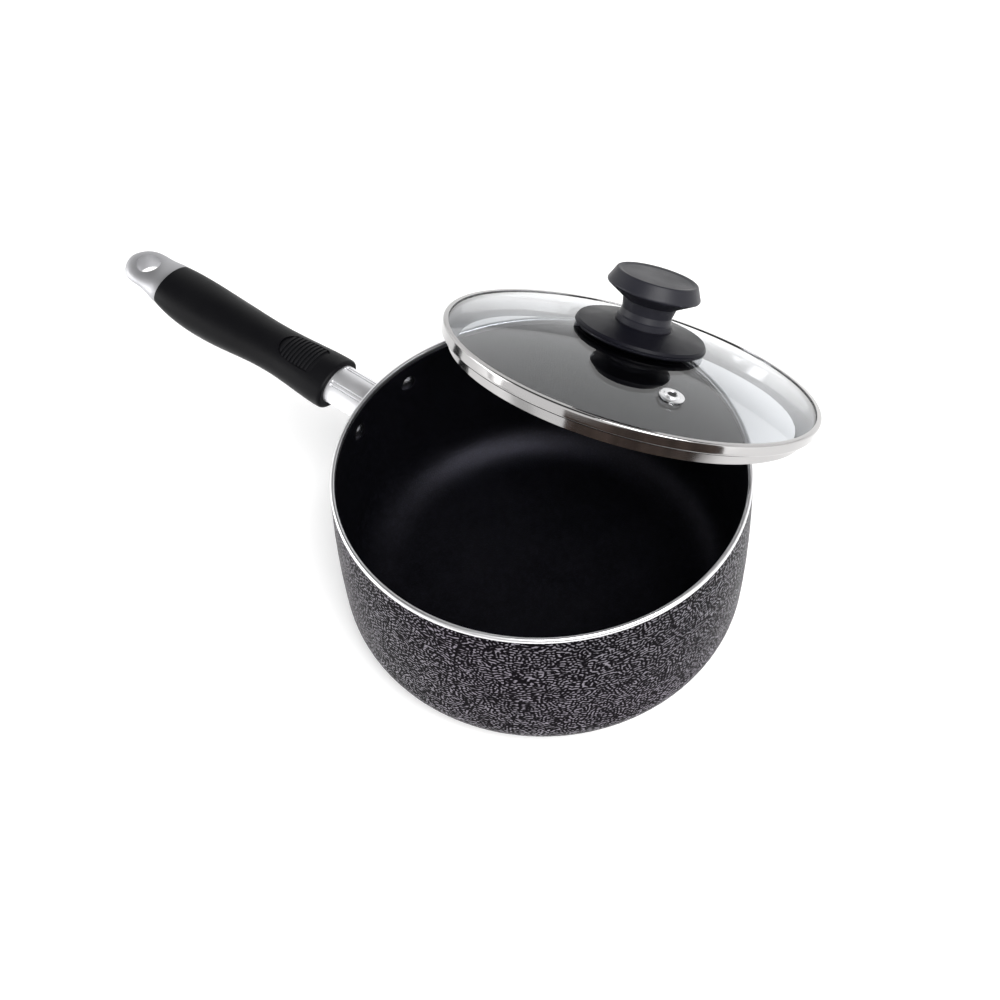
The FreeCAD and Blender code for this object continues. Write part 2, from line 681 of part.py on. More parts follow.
# ---------------------------------------------------------------- where the lid leans
def leaning_lid():
    """Frame of the lid. Its skirt lies on the near half of the rim and its glass on the far rim."""
    lean = math.radians(number("lid_lean"))
    ring = number("rim_radius - wall / 2")
    skirt = number("hem_radius")
    rim_middle = number("pan_height - rim_crown")
    skirt_rest = number("pan_height + skirt_gap")
    ball = number("dome_curve")
    ball_height = number("dome_centre")
    reach = number("dome_curve - rim_crown - rest_gap")

    def side_shift(height):
        """How far the lid's middle lies towards +Y when its skirt rests on the rim."""
        fall = height - skirt_rest
        room = ring ** 2 - skirt ** 2 + (fall / math.sin(lean)) ** 2
        return -fall / math.tan(lean) + math.sqrt(max(room, 0.0))

    def dome_error(height):
        """Distance of the glass from the far rim, less the wanted air."""
        middle_y = side_shift(height) + ball_height * math.sin(lean)
        middle_z = height + ball_height * math.cos(lean)
        return math.hypot(ring - middle_y, rim_middle - middle_z) - reach

    low = skirt_rest - skirt * math.sin(lean)
    high = skirt_rest
    for _ in range(60):
        middle = (low + high) / 2
        if dome_error(middle) > 0:
            high = middle
        else:
            low = middle
    return Placement(Vector(0, side_shift(low), low), Rotation(Vector(1, 0, 0), -number("lid_lean")))


lid_place = leaning_lid()

# ---------------------------------------------------------------- lid band, glass and seal
# Rolled stainless sheet: a skirt with a turned-in hem that drops into the mouth, a bead around the
# glass's edge and a lip that holds the glass down.
rim_band = finish(turned("band_turning", [
    ("hem_radius", "0"),
    ("skirt_radius", "hem_rise"),
    ("skirt_radius + skirt_flare", "skirt_height"),
    ("bead_radius - bead_round", "skirt_height", "bead_round"),
    ("bead_radius", "skirt_height + bead_round"),
    ("bead_radius", "bead_top - bead_round", "bead_round"),
    ("bead_radius - bead_round", "bead_top"),
    ("lip_radius", "bead_top"),
    ("lip_radius", "lip_low"),
    ("bead_radius - bead_round", "lip_low", "-(bead_round - sheet)"),
    ("bead_radius - sheet", "lip_low - (bead_round - sheet)"),
    ("bead_radius - sheet", "skirt_height + bead_round", "-(bead_round - sheet)"),
    ("bead_radius - bead_round", "skirt_height + sheet"),
    ("skirt_radius + skirt_flare - sheet", "skirt_height + sheet"),
    ("skirt_radius - sheet", "hem_rise + hem_fold"),
    ("hem_radius - hem_fold", "sheet")]), "rim_band", lid_place)

glass_turning = turned("glass_turning", [
    ("0", "dome_height", "-dome_curve"),
    ("glass_radius", "glass_low"),
    ("glass_radius", "glass_high", "outer_curve"),
    ("0", "glass_top")])
bearing = Rotation(Vector(0, 0, 1), number("vent_bearing"))
vent_foot = bearing.multVec(Vector(number("vent_offset"), 0, 0))
vent_slope = math.degrees(math.asin(number("vent_offset / outer_curve")))
vent_ball = Placement(Vector(0, 0, number("dome_centre")),
                      bearing.multiply(Rotation(Vector(0, 1, 0), vent_slope)))
vent_place = vent_ball.multiply(Placement(Vector(0, 0, number("dome_curve")), Rotation()))
middle_hole = cylinder("middle_hole", "glass_hole", "40", Placement(Vector(0, 0, 0), Rotation()))
vent_hole = cylinder("vent_hole", "vent_barrel + 2 * touch_gap", "40",
                     vent_place.multiply(Placement(Vector(0, 0, -20), Rotation())))
lid_glass = finish(cut("glass_cut", glass_turning, group("glass_holes", [middle_hole, vent_hole])),
                   "lid_glass", lid_place)

rim_seal = finish(turned("seal_turning", [
    ("glass_radius + touch_gap", "skirt_height + sheet + touch_gap"),
    ("bead_radius - sheet - touch_gap - (bead_round - sheet)", "skirt_height + sheet + touch_gap"),
    ("bead_radius - sheet - touch_gap", "skirt_height + bead_round + touch_gap"),
    ("bead_radius - sheet - touch_gap", "glass_high"),
    ("glass_radius + touch_gap", "glass_high")]), "rim_seal", lid_place)

# ---------------------------------------------------------------- steam vent
# A flanged eyelet through the glass, its barrel rolled over a plain ring underneath.
in_vent = lid_place.multiply(vent_place)
vent_eyelet = finish(turned("eyelet_turning", [
    ("vent_bore", "-1.6"),
    ("vent_barrel", "-1.6"),
    ("vent_barrel", "glass_thickness + 2 * touch_gap"),
    ("vent_flange", "glass_thickness + 2 * touch_gap"),
    ("vent_flange", "glass_thickness + vent_flange_height * 0.45"),
    ("vent_flange - 0.7", "glass_thickness + vent_flange_height * 0.6"),
    ("vent_bore + 1.7", "glass_thickness + vent_flange_height * 0.6"),
    ("vent_bore + 1.4", "glass_thickness + vent_flange_height"),
    ("vent_bore + 0.4", "glass_thickness + vent_flange_height"),
    ("vent_bore", "glass_thickness + vent_flange_height - 0.4")]), "vent_eyelet", in_vent)
vent_ring = finish(turned("ring_turning", [
    ("vent_barrel + touch_gap", "-1.3"),
    ("vent_ring", "-1.3"),
    ("vent_ring", "-2 * touch_gap"),
    ("vent_barrel + touch_gap", "-2 * touch_gap")]), "vent_ring", in_vent)

# ---------------------------------------------------------------- knob and its fixing
upper_gasket = finish(turned("upper_gasket_turning", [
    ("glass_hole", "glass_top"),
    ("neck_radius", "glass_top - neck_radius^2 / (2 * outer_curve) + 2 * touch_gap"),
    ("neck_radius", "glass_top + gasket_thickness"),
    ("glass_hole", "glass_top + gasket_thickness")]), "upper_gasket", lid_place)

heat_disc = finish(turned("disc_turning", [
    ("screw_radius + slip_gap", "disc_low"),
    ("neck_radius + 1", "disc_low"),
    ("disc_radius - 3.2", "disc_edge_low + 0.9"),
    ("disc_radius - 1.2", "disc_edge_low"),
    ("disc_radius", "disc_edge_low + 0.9"),
    ("disc_radius", "disc_edge_low + disc_edge - 1.6"),
    ("disc_radius - 0.35", "disc_edge_low + disc_edge - 1.4"),
    ("disc_radius - 0.1", "disc_edge_low + disc_edge - 1.2"),
    ("disc_radius - 0.9", "disc_edge_low + disc_edge"),
    ("neck_radius + 4", "disc_high - 0.4"),
    ("neck_radius + 2", "disc_high"),
    ("screw_radius + slip_gap", "disc_high")]), "heat_disc", lid_place)

knob = finish(turned("knob_turning", [
    ("insert_radius + touch_gap", "knob_low"),
    ("neck_radius + neck_step", "knob_low"),
    ("neck_radius + neck_step", "knob_low + neck_foot - 0.5"),
    ("neck_radius", "knob_low + neck_foot"),
    ("neck_radius - 0.6", "knob_low + neck_height * 0.55"),
    ("neck_radius + 0.4", "cap_low"),
    ("cap_radius - 0.9", "cap_wide - 0.7", "1.1"),
    ("cap_radius - 0.5", "cap_wide + 0.9"),
    ("cap_top_radius + 0.6", "knob_top - 0.5", "1.0"),
    ("cap_top_radius - 0.4", "knob_top"),
    ("cap_top_radius - 2.4", "knob_top - cap_dish"),
    ("0", "knob_top - cap_dish"),
    ("0", "insert_high + touch_gap"),
    ("insert_radius + touch_gap", "insert_high + touch_gap")]), "knob", lid_place)

knob_insert = finish(turned("insert_turning", [
    ("screw_radius + touch_gap", "insert_low"),
    ("insert_radius - 0.5", "insert_low"),
    ("insert_radius", "insert_low + 0.5"),
    ("insert_radius", "insert_high"),
    ("screw_radius + touch_gap", "insert_high")]), "knob_insert", lid_place)

lower_gasket = finish(turned("lower_gasket_turning", [
    ("glass_hole", "gasket_low"),
    ("knob_washer_radius", "gasket_low"),
    ("knob_washer_radius", "dome_height - 2 * touch_gap"),
    ("glass_hole", "dome_height - touch_gap")]), "lower_gasket", lid_place)

knob_washer = finish(turned("knob_washer_turning", [
    ("screw_radius + slip_gap", "knob_washer_low"),
    ("knob_washer_radius", "knob_washer_low"),
    ("knob_washer_radius", "knob_washer_low + knob_washer_thickness"),
    ("screw_radius + slip_gap", "knob_washer_low + knob_washer_thickness")]), "knob_washer", lid_place)

screw_turning = turned("screw_turning", [
    ("0", "screw_seat - screw_head_height"),
    ("screw_head_radius - 1.1", "screw_seat - screw_head_height"),
    ("screw_head_radius", "screw_seat - screw_head_height + 0.9"),
    ("screw_head_radius", "screw_seat"),
    ("screw_radius", "screw_seat"),
    ("screw_radius", "insert_high - 2"),
    ("0", "insert_high - 2")])
knob_screw = finish(cut("screw_cut", screw_turning,
                        driver_cross("screw_cross", number("screw_seat - screw_head_height"), 1)),
                    "knob_screw", lid_place)

# ---------------------------------------------------------------- check and write
doc.recompute()
for thing in doc.Objects:
    for word in ("Invalid", "Error"):
        if word in thing.State:
            raise RuntimeError("%s is %s" % (thing.Name, word))
os.makedirs("parts", exist_ok=True)
for piece in nodes:
    shape = piece.Shape
    if shape.isNull() or not shape.isValid() or not shape.Solids:
        raise RuntimeError("%s has no sound solid" % piece.Label)
    shape.exportStep("parts/%s.step" % piece.Label)
    print("%-16s %d solid(s) %10.1f mm3" % (piece.Label, len(shape.Solids), shape.Volume))
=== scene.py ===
import math

import bpy
import numpy as np
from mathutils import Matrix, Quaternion, Vector


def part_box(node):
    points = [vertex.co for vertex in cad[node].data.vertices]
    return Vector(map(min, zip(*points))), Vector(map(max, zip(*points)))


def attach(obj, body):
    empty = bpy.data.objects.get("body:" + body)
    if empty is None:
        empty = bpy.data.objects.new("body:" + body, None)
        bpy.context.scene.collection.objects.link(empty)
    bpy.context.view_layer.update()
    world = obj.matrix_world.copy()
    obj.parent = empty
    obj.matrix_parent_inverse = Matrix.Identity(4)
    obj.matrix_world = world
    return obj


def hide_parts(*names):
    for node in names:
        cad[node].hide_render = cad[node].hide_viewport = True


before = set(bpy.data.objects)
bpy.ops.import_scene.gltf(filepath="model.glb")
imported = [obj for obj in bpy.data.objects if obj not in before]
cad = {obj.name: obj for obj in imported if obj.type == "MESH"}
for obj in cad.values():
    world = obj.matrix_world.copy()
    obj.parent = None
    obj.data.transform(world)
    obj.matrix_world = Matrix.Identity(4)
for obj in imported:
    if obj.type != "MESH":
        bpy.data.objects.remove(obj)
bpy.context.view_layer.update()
MM = 0.001

# ---------------------------------------------------------------- the pan's bowl
# One bowl pressed from aluminium plate and turned at the rim. Outside it carries a hammered charcoal
# enamel, inside a black non-stick coat, and the round of the rim is left bare and polished.
RIM = 90.0
WALL = 2.0
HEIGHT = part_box("pan_shell")[1].z / MM
FLOOR = 2.6
BELLY = RIM + 3.4
CORNER = 24.0
RIM_ROUND = WALL * 0.56
BASE_HUB = 4.0
BOWL_SEGMENTS = 560
WAVE_COUNT = 20
LUMP_WIDTH = 3.4
LUMP_HEIGHT = 0.035
FADE_BELOW, FADE_ABOVE = 8.0, 3.0


def line(start, end, count):
    """Points evenly spaced from start towards end: start plus a growing share of the way."""
    share = np.arange(count)[:, None] / count
    return np.array(start) * (1 - share) + np.array(end) * share


def arc(start, end, radius, count):
    """Points on a round from start towards end. Its centre stands on the chord's middle, to the left
    of travel for a positive radius, at the root of radius squared less half the chord squared."""
    start, end = np.array(start, float), np.array(end, float)
    chord = end - start
    half = np.hypot(*chord) / 2
    right = np.array([chord[1], -chord[0]]) / (2 * half)
    stand = math.sqrt(max(radius ** 2 - half ** 2, 0.0))
    centre = (start + end) / 2 - right * math.copysign(stand, radius)
    first = math.atan2(start[1] - centre[1], start[0] - centre[0])
    last = math.atan2(end[1] - centre[1], end[0] - centre[0])
    turn = (last - first + math.pi) % (2 * math.pi) - math.pi
    angle = first + turn * np.arange(count) / count
    return centre + abs(radius) * np.stack([np.cos(angle), np.sin(angle)], 1)


def turn_round(profile, segments):
    """A profile of (radius, height) carried round the Z axis: radius times cosine and sine of the
    angle, and the height. Rows follow the profile and columns go round."""
    angle = np.arange(segments) * 2 * math.pi / segments
    radius, height = profile[:, 0, None], profile[:, 1, None]
    flat = np.ones(segments)
    return np.stack([radius * np.cos(angle), radius * np.sin(angle), height * flat], 2)


def skin(name, grid, loop=False, first_pole=None, last_pole=None):
    """A mesh over a grid of points in millimetres. Each square joins four neighbours, the last column
    joins the first, a loop joins the last row to the first, and a pole closes an end as a fan."""
    rows, columns = grid.shape[:2]
    points = [grid.reshape(-1, 3)]
    here = np.arange(rows * columns).reshape(rows, columns)
    above = np.roll(here, -1, 0) if loop else here[1:]
    below = here if loop else here[:-1]
    squares = np.stack([below, np.roll(below, -1, 1), np.roll(above, -1, 1), above], 2).reshape(-1, 4)
    faces = squares.tolist()
    for pole, row, order in ((first_pole, here[0], 1), (last_pole, here[-1], -1)):
        if pole is not None:
            hub = np.full(columns, sum(len(part) for part in points))
            points.append(np.array([pole], float))
            faces += np.stack([hub, np.roll(row, -1), row][::order], 1).tolist()
    mesh = bpy.data.meshes.new(name)
    mesh.from_pydata(np.vstack(points) * MM, [], faces)
    mesh.polygons.foreach_set("use_smooth", np.ones(len(faces), bool))
    piece = bpy.data.objects.new(name, mesh)
    bpy.context.scene.collection.objects.link(piece)
    return piece


def node(tree, kind, values=None, **settings):
    """One shader node with its settings and the plain values of its sockets."""
    made = tree.nodes.new(kind)
    for key, value in settings.items():
        setattr(made, key, value)
    for key, value in (values or {}).items():
        made.inputs[key].default_value = value
    return made


def finish_named(name, **values):
    """A material with one Principled shader. Underscores in a value's name stand for spaces."""
    material = bpy.data.materials.new(name)
    material.use_nodes = True
    shader = material.node_tree.nodes["Principled BSDF"]
    for key, value in values.items():
        shader.inputs[key.replace("_", " ")].default_value = value
    return material, material.node_tree, shader


def group_named(name, inputs, outputs):
    """An empty shader node group with float inputs, given with their defaults, and its outputs."""
    tree = bpy.data.node_groups.new(name, "ShaderNodeTree")
    for label, value in inputs.items():
        socket = tree.interface.new_socket(name=label, in_out="INPUT", socket_type="NodeSocketFloat")
        socket.default_value = value
    for label, kind in outputs.items():
        tree.interface.new_socket(name=label, in_out="OUTPUT", socket_type=kind)
    return tree, tree.nodes.new("NodeGroupInput"), tree.nodes.new("NodeGroupOutput")


def grain_group():
    """Fine uneven skin of a moulded or sprayed surface. Bump height is a cloud of the given scale, and
    the roughness mask is a slow cloud that makes the sheen uneven."""
    tree, given, result = group_named(
        "surface_grain", {"Scale": 2500.0, "Depth": 0.00002, "Roughness": 0.4, "Spread": 0.1},
        {"Roughness": "NodeSocketFloat", "Normal": "NodeSocketVector"})
    place = node(tree, "ShaderNodeTexCoord")
    fine = node(tree, "ShaderNodeTexNoise", {"Detail": 3.0, "Roughness": 0.6})
    slow = node(tree, "ShaderNodeTexNoise", {"Scale": 60.0, "Detail": 4.0})
    bump = node(tree, "ShaderNodeBump", {"Strength": 1.0})
    spread = node(tree, "ShaderNodeMapRange", {"From Min": 0.3, "From Max": 0.7})
    least = node(tree, "ShaderNodeMath", operation="SUBTRACT")
    most = node(tree, "ShaderNodeMath", operation="ADD")
    link = tree.links.new
    link(place.outputs["Object"], fine.inputs["Vector"])
    link(place.outputs["Object"], slow.inputs["Vector"])
    link(given.outputs["Scale"], fine.inputs["Scale"])
    link(fine.outputs["Fac"], bump.inputs["Height"])
    link(given.outputs["Depth"], bump.inputs["Distance"])
    link(given.outputs["Roughness"], least.inputs[0])
    link(given.outputs["Spread"], least.inputs[1])
    link(given.outputs["Roughness"], most.inputs[0])
    link(given.outputs["Spread"], most.inputs[1])
    link(slow.outputs["Fac"], spread.inputs["Value"])
    link(least.outputs[0], spread.inputs["To Min"])
    link(most.outputs[0], spread.inputs["To Max"])
    link(spread.outputs["Result"], result.inputs["Roughness"])
    link(bump.outputs["Normal"], result.inputs["Normal"])
    return tree


def put_grain(tree, shader, scale, depth, roughness, spread):
    """Place the grain group in a material with its own values."""
    grain = node(tree, "ShaderNodeGroup", node_tree=surface_grain)
    for label, value in zip(("Scale", "Depth", "Roughness", "Spread"), (scale, depth, roughness, spread)):
        grain.inputs[label].default_value = value
    tree.links.new(grain.outputs["Roughness"], shader.inputs["Roughness"])
    tree.links.new(grain.outputs["Normal"], shader.inputs["Normal"])
    return grain


def hammered_enamel():
    """Charcoal enamel that dried into fine worm-like crests. The crest height follows a sum of short
    wave packets that run in all directions at one wavelength, raised above its middle value."""
    material, tree, shader = finish_named("hammered_enamel", IOR=1.5, Specular_IOR_Level=0.01)
    place = node(tree, "ShaderNodeTexCoord")
    waves = node(tree, "ShaderNodeTexGabor", {"Scale": 260.0, "Frequency": 2.6, "Anisotropy": 0.0},
                 gabor_type="3D")
    crest = node(tree, "ShaderNodeMapRange", {"From Min": 0.52, "From Max": 0.64})
    crest.interpolation_type = "SMOOTHSTEP"
    bump = node(tree, "ShaderNodeBump", {"Strength": 1.0, "Distance": 0.0004})
    tint = node(tree, "ShaderNodeTexNoise", {"Scale": 16.0, "Detail": 1.0})
    ground = node(tree, "ShaderNodeMix", data_type="RGBA")
    ground.inputs["A"].default_value = (0.0012, 0.0012, 0.0018, 1)
    ground.inputs["B"].default_value = (0.0035, 0.0018, 0.0040, 1)
    peak = node(tree, "ShaderNodeMix", data_type="RGBA")
    peak.inputs["A"].default_value = (0.200, 0.200, 0.213, 1)
    peak.inputs["B"].default_value = (0.212, 0.180, 0.228, 1)
    colour = node(tree, "ShaderNodeMix", data_type="RGBA")
    gloss = node(tree, "ShaderNodeMapRange", {"To Min": 0.30, "To Max": 0.34})
    metal = node(tree, "ShaderNodeMapRange", {"To Min": 0.0, "To Max": 0.8})
    link = tree.links.new
    link(place.outputs["Object"], waves.inputs["Vector"])
    link(place.outputs["Object"], tint.inputs["Vector"])
    link(waves.outputs["Value"], crest.inputs["Value"])
    link(crest.outputs["Result"], bump.inputs["Height"])
    link(crest.outputs["Result"], colour.inputs["Factor"])
    link(crest.outputs["Result"], gloss.inputs["Value"])
    link(crest.outputs["Result"], metal.inputs["Value"])
    link(metal.outputs["Result"], shader.inputs["Metallic"])
    link(tint.outputs["Fac"], ground.inputs["Factor"])
    link(tint.outputs["Fac"], peak.inputs["Factor"])
    link(ground.outputs["Result"], colour.inputs["A"])
    link(peak.outputs["Result"], colour.inputs["B"])
    link(colour.outputs["Result"], shader.inputs["Base Color"])
    link(gloss.outputs["Result"], shader.inputs["Roughness"])
    link(bump.outputs["Normal"], shader.inputs["Normal"])
    return material


def nonstick_coat():
    """Black coat with fine metal flakes in it: a random value for each cell, stretched from its middle
    to its end, sets how much of the cell is flake."""
    material, tree, shader = finish_named("nonstick_coat", IOR=1.45, Specular_IOR_Level=0.26,
                                          Specular_Tint=(0.84, 0.82, 1.0, 1))
    place = node(tree, "ShaderNodeTexCoord")
    cells = node(tree, "ShaderNodeTexVoronoi", {"Scale": 2000.0})
    pick = node(tree, "ShaderNodeMapRange", {"From Min": 0.55, "From Max": 1.0})
    flake = node(tree, "ShaderNodeMix", data_type="RGBA")
    flake.inputs["A"].default_value = (0.0010, 0.0010, 0.0014, 1)
    flake.inputs["B"].default_value = (0.021, 0.021, 0.029, 1)
    put_grain(tree, shader, 1300.0, 0.00018, 0.36, 0.05)
    link = tree.links.new
    link(place.outputs["Object"], cells.inputs["Vector"])
    link(cells.outputs["Color"], pick.inputs["Value"])
    link(pick.outputs["Result"], flake.inputs["Factor"])
    link(pick.outputs["Result"], shader.inputs["Metallic"])
    link(flake.outputs["Result"], shader.inputs["Base Color"])
    return material


def bare_metal(name, colour, roughness, spread, scale, depth):
    """Bare metal with faint marks of polishing: the grain group's cloud as bump, of the given scale and
    depth, and its slow cloud as sheen, within the spread about the roughness."""
    material, tree, shader = finish_named(name, Metallic=1.0, Base_Color=(*colour, 1))
    put_grain(tree, shader, scale, depth, roughness, spread)
    return material


def relief(angle, height, seed):
    """Low lumps of the enamel: the mean of waves of about one length that run in all directions over
    the wall. Each wave has a whole number of crests round the pan, so the seam doesn't show."""
    draw = np.random.default_rng(seed)
    lumps = np.zeros(np.broadcast(angle, height).shape)
    for heading, stretch, start in draw.random((WAVE_COUNT, 3)):
        waves = 2 * math.pi / (LUMP_WIDTH * (0.85 + 0.3 * stretch))
        around = round(BELLY * waves * math.cos(2 * math.pi * heading))
        upward = waves * math.sin(2 * math.pi * heading)
        lumps += np.cos(around * angle + upward * height + 2 * math.pi * start)
    return lumps / math.sqrt(WAVE_COUNT)


surface_grain = grain_group()
rim_low = HEIGHT - (RIM_ROUND - math.sqrt(RIM_ROUND ** 2 - WALL ** 2 / 4))
wall_curve = ((rim_low - CORNER) ** 2 + (BELLY - RIM) ** 2) / (2 * (BELLY - RIM))
inner_base = FLOOR + CORNER - WALL
inner_curve = ((rim_low - inner_base) ** 2 + (BELLY - RIM) ** 2) / (2 * (BELLY - RIM))
stretches = [
    line((BASE_HUB, 0), (BELLY - CORNER, 0), 12),
    arc((BELLY - CORNER, 0), (BELLY, CORNER), CORNER, 38),
    arc((BELLY, CORNER), (RIM, rim_low), wall_curve, 62),
    arc((RIM, rim_low), (RIM - WALL, rim_low), RIM_ROUND, 8),
    arc((RIM - WALL, rim_low), (BELLY - WALL, inner_base), -inner_curve, 26),
    arc((BELLY - WALL, inner_base), (BELLY - CORNER, FLOOR), -(CORNER - WALL), 18),
    line((BELLY - CORNER, FLOOR), (BASE_HUB, FLOOR), 10)]
bowl_profile = np.vstack(stretches)
row_ends = np.cumsum([len(stretch) for stretch in stretches])
along = np.concatenate([[0], np.cumsum(np.hypot(*np.diff(bowl_profile, axis=0).T))])
slope = np.gradient(bowl_profile, axis=0)
slope /= np.hypot(slope[:, 0], slope[:, 1])[:, None]
enamel_from, enamel_to = along[row_ends[0]], along[row_ends[2] - 2]
fade = np.clip((along - enamel_from) / FADE_BELOW, 0, 1) * np.clip((enamel_to - along) / FADE_ABOVE, 0, 1)
bowl_angle = np.arange(BOWL_SEGMENTS)[None, :] * 2 * math.pi / BOWL_SEGMENTS
swell = relief(bowl_angle, along[:, None], 7) * LUMP_HEIGHT * fade[:, None]
bowl_grid = turn_round(bowl_profile, BOWL_SEGMENTS)
bowl_grid[:, :, 0] += swell * slope[:, 1, None] * np.cos(bowl_angle)
bowl_grid[:, :, 1] += swell * slope[:, 1, None] * np.sin(bowl_angle)
bowl_grid[:, :, 2] -= swell * slope[:, 0, None]
bowl = skin("pan_bowl", bowl_grid, first_pole=(0, 0, 0), last_pole=(0, 0, FLOOR))
face_row = np.concatenate([
    np.repeat(np.arange(len(bowl_profile) - 1), BOWL_SEGMENTS),
    np.zeros(BOWL_SEGMENTS), np.full(BOWL_SEGMENTS, len(bowl_profile))])
face_finish = np.where(face_row < row_ends[2] - 1, 0, np.where(face_row < row_ends[3] + 1, 1, 2))
bowl.data.materials.append(hammered_enamel())
bowl.data.materials.append(bare_metal("polished_rim", (0.80, 0.80, 0.81), 0.32, 0.05, 900.0, 0.00001))
bowl.data.materials.append(nonstick_coat())
bowl.data.polygons.foreach_set("material_index", face_finish.astype(np.int32))
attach(bowl, "pan")
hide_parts("pan_shell")


def coat(names, material):
    """Give CAD pieces their finish."""
    for name in names:
        cad[name].data.materials.clear()
        cad[name].data.materials.append(material)


# ---------------------------------------------------------------- bracket and rivets
# A cast aluminium plate follows the wall behind the sleeve. Two solid aluminium rivets hold it, and
# their low bright heads show inside the pan.
coat(["handle_bracket"], bare_metal("cast_aluminium", (0.62, 0.62, 0.63), 0.45, 0.12, 1400.0, 0.00006))
coat(["handle_rivets"], bare_metal("bright_rivet", (0.34, 0.34, 0.36), 0.24, 0.06, 1200.0, 0.00002))

# ---------------------------------------------------------------- flame guard sleeve
# An oval aluminium sleeve, drawn and polished, with fine grooves along it. It slips into the grip.
coat(["ferrule"], bare_metal("drawn_sleeve", (0.86, 0.86, 0.88), 0.45, 0.06, 700.0, 0.00002))

# ---------------------------------------------------------------- grip and thumb pad
# Black phenolic moulding with a fine matt skin. The ribbed pad is a separate soft insert.
MOULD_SPREAD = 0.06


def moulded(name, colour, roughness, scale, depth, sheen):
    """Dark moulded plastic or rubber: the grain group's cloud as bump, and the given level of sheen."""
    material, tree, shader = finish_named(name, IOR=1.5, Base_Color=(*colour, 1), Specular_IOR_Level=sheen)
    put_grain(tree, shader, scale, depth, roughness, MOULD_SPREAD)
    return material


coat(["grip"], moulded("grip_bakelite", (0.0030, 0.0030, 0.0038), 0.42, 2600.0, 0.00004, 0.10))
coat(["thumb_pad"], moulded("pad_rubber", (0.005, 0.005, 0.006), 0.55, 3200.0, 0.00004, 0.12))

# ---------------------------------------------------------------- hanging end and handle bolt
# The end is die-cast and satin polished. The bolt and its washer are plated steel, sunk in its hole.
coat(["hanging_end"], bare_metal("satin_end", (0.44, 0.44, 0.455), 0.50, 0.08, 800.0, 0.00002))
plated = bare_metal("plated_steel", (0.60, 0.60, 0.61), 0.30, 0.08, 1500.0, 0.00002)
coat(["handle_bolt", "bolt_washer", "knob_screw"], plated)

# ---------------------------------------------------------------- lid glass and seal
# A dome of clear tempered glass, its edge ground and held in the band by a black silicone ring. Its grey
# colour is painted shade.
# The grey base colour is painted shade: darker than clear glass, it dims the bright floor seen through the
# lid.
glass_with_painted_shade, _, _ = finish_named(
    "glass_with_painted_shade", Base_Color=(0.56, 0.58, 0.605, 1), Roughness=0.0, IOR=1.52, Transmission_Weight=1.0)
coat(["lid_glass"], glass_with_painted_shade)
silicone = moulded("black_silicone", (0.010, 0.010, 0.010), 0.5, 2500.0, 0.00002, 0.15)
coat(["rim_seal", "upper_gasket", "lower_gasket"], silicone)

# ---------------------------------------------------------------- lid band and steam vent
# Stainless sheet rolled over the glass's edge and polished bright: a skirt with a turned-in hem, a
# bead and a narrow lip. The vent is a turned eyelet, rolled over a dull ring under the glass.
LEAN = math.radians(28.8)
WASHER_HEIGHT = 18.5
SHEET = 0.55
HEM, HEM_RISE, HEM_FOLD = 81.0, 1.6, 0.2
SKIRT, SKIRT_TOP, SKIRT_HEIGHT = 86.1, 86.4, 7.0
BEAD, BEAD_ROUND, BEAD_TOP = 90.4, 0.8, 12.25
LIP = 88.0
CREASE = 35.0
BAND_SEGMENTS = 720


def in_lid(grid):
    """Points of the lid's own frame put in place: turned about X by the lean, then moved to the
    middle of the band's lower edge."""
    washer_low, washer_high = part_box("knob_washer")
    axis = np.array([0.0, math.sin(LEAN), math.cos(LEAN)])
    slope_down = np.array([0.0, math.cos(LEAN), -math.sin(LEAN)])
    middle = np.array((washer_low + washer_high) / 2) / MM - WASHER_HEIGHT * axis
    return middle + grid[..., :1] * (1.0, 0.0, 0.0) + grid[..., 1:2] * slope_down + grid[..., 2:] * axis


inner_round = BEAD_ROUND - SHEET
band_profile = np.vstack([
    line((HEM, 0), (SKIRT, HEM_RISE), 6),
    line((SKIRT, HEM_RISE), (SKIRT_TOP, SKIRT_HEIGHT), 6),
    line((SKIRT_TOP, SKIRT_HEIGHT), (BEAD - BEAD_ROUND, SKIRT_HEIGHT), 5),
    arc((BEAD - BEAD_ROUND, SKIRT_HEIGHT), (BEAD, SKIRT_HEIGHT + BEAD_ROUND), BEAD_ROUND, 8),
    line((BEAD, SKIRT_HEIGHT + BEAD_ROUND), (BEAD, BEAD_TOP - BEAD_ROUND), 5),
    arc((BEAD, BEAD_TOP - BEAD_ROUND), (BEAD - BEAD_ROUND, BEAD_TOP), BEAD_ROUND, 8),
    line((BEAD - BEAD_ROUND, BEAD_TOP), (LIP, BEAD_TOP), 4),
    line((LIP, BEAD_TOP), (LIP, BEAD_TOP - SHEET), 2),
    line((LIP, BEAD_TOP - SHEET), (BEAD - BEAD_ROUND, BEAD_TOP - SHEET), 3),
    arc((BEAD - BEAD_ROUND, BEAD_TOP - SHEET), (BEAD - SHEET, BEAD_TOP - BEAD_ROUND),
        -inner_round, 4),
    line((BEAD - SHEET, BEAD_TOP - BEAD_ROUND), (BEAD - SHEET, SKIRT_HEIGHT + BEAD_ROUND), 4),
    arc((BEAD - SHEET, SKIRT_HEIGHT + BEAD_ROUND), (BEAD - BEAD_ROUND, SKIRT_HEIGHT + SHEET),
        -inner_round, 4),
    line((BEAD - BEAD_ROUND, SKIRT_HEIGHT + SHEET), (SKIRT_TOP - SHEET, SKIRT_HEIGHT + SHEET), 4),
    line((SKIRT_TOP - SHEET, SKIRT_HEIGHT + SHEET), (SKIRT - SHEET, HEM_RISE + HEM_FOLD), 6),
    line((SKIRT - SHEET, HEM_RISE + HEM_FOLD), (HEM - HEM_FOLD, SHEET), 5)])
band = skin("lid_band", in_lid(turn_round(band_profile, BAND_SEGMENTS)), loop=True)
band.data.set_sharp_from_angle(angle=math.radians(CREASE))
polished = bare_metal("polished_stainless", (0.42, 0.412, 0.41), 0.10, 0.03, 500.0, 0.000004)
